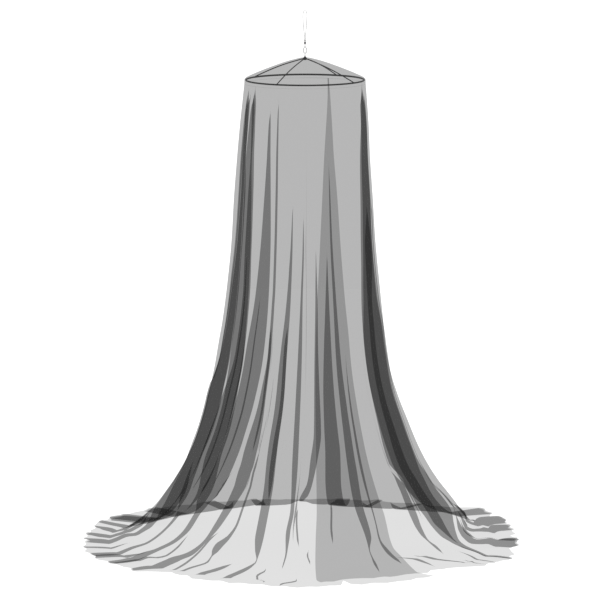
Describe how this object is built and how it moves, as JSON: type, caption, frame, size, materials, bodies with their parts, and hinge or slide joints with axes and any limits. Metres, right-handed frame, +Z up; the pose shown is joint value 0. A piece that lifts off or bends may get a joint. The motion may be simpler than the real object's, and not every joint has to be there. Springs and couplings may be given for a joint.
{
  "type": "mosquito net canopy on a hoop frame",
  "caption": "Sheer dark net canopy that hangs from a thin cord: a domed roof on a ribbed hoop and a long open skirt that flares into a round puddle on the floor.",
  "frame": {"origin": "Top of the cord loop, where the ceiling hook carries it; the floor is 2.696 m below.", "axes": "+Z up along the hanging line, -Y towards the front with the skirt's opening, +X to the right."},
  "size_m": [2.2441, 2.2197, 2.696],
  "materials": {
    "net": "sheer fine polyester net, dark grey to black",
    "frame": "dark satin coated rod",
    "ring_steel": "bright steel wire",
    "bead": "dark grey moulded stop",
    "cord": "pale twisted cord"
  },
  "bodies": {
    "root": {"skirt_net": "net", "roof_net": "net", "hoop": "frame", "rib_1": "frame", "rib_2": "frame", "rib_3": "frame", "rib_4": "frame", "hub": "frame", "link_ring": "ring_steel", "cord_stop": "bead", "cord_knot": "cord", "hanging_cord": "cord"}
  },
  "joints": []
}
